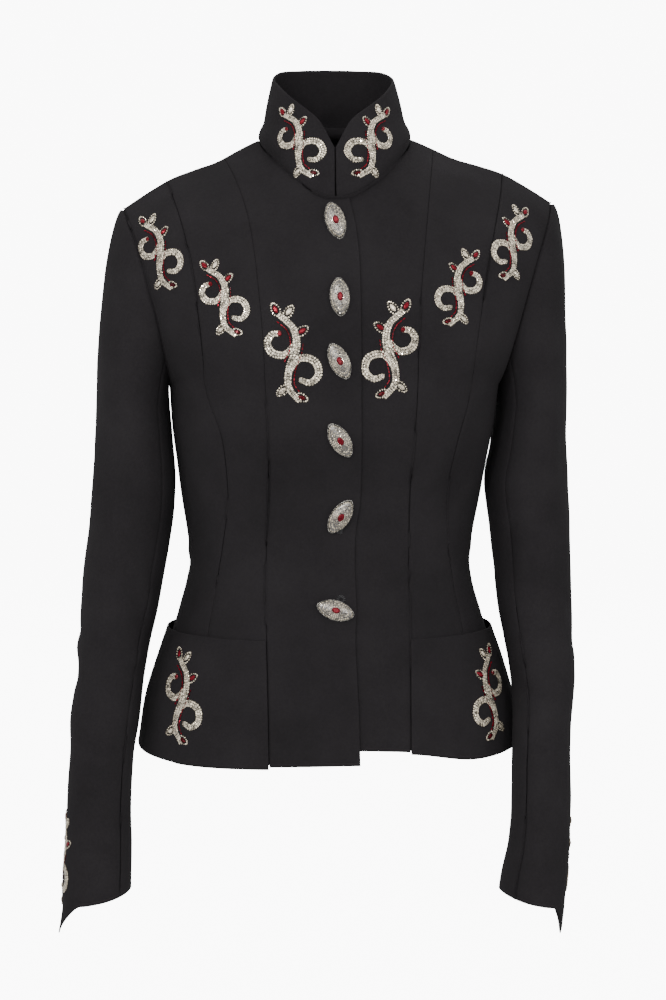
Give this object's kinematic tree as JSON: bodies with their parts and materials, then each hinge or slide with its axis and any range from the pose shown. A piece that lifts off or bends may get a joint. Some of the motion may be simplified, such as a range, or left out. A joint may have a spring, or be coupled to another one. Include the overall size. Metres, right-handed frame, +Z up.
{
  "type": "embroidered jacket",
  "caption": "Fitted hip-length jacket with a stand collar, two-piece sleeves, hip patch pockets, almond buttons and beaded scroll sprays.",
  "frame": {"origin": "centre of the neck opening at the height of the neck base", "axes": "+Z up towards the collar, -Y towards the front, +X towards the wearer's left"},
  "size_m": [0.4899, 0.2778, 0.8057],
  "materials": {
    "cloth": "fine matt near-black wool crepe",
    "beadwork": "closely set clear and white crystal with ruby red stones"
  },
  "bodies": {
    "root": {"right_front": "cloth", "right_mid_front": "cloth", "right_side_front": "cloth", "right_side_back": "cloth", "right_back": "cloth", "left_front": "cloth", "left_mid_front": "cloth", "left_side_front": "cloth", "left_side_back": "cloth", "left_back": "cloth", "right_upper_sleeve": "cloth", "right_under_sleeve": "cloth", "left_upper_sleeve": "cloth", "left_under_sleeve": "cloth", "collar": "cloth", "right_pocket": "cloth", "left_pocket": "cloth", "button_1": "beadwork", "button_2": "beadwork", "button_3": "beadwork", "button_4": "beadwork", "button_5": "beadwork", "button_6": "beadwork", "right_collar_spray": "beadwork", "left_collar_spray": "beadwork", "right_shoulder_spray": "beadwork", "left_shoulder_spray": "beadwork", "right_breast_spray": "beadwork", "left_breast_spray": "beadwork", "right_front_spray": "beadwork", "left_front_spray": "beadwork", "right_pocket_spray": "beadwork", "left_pocket_spray": "beadwork", "right_cuff_spray": "beadwork", "left_cuff_spray": "beadwork"}
  },
  "joints": []
}
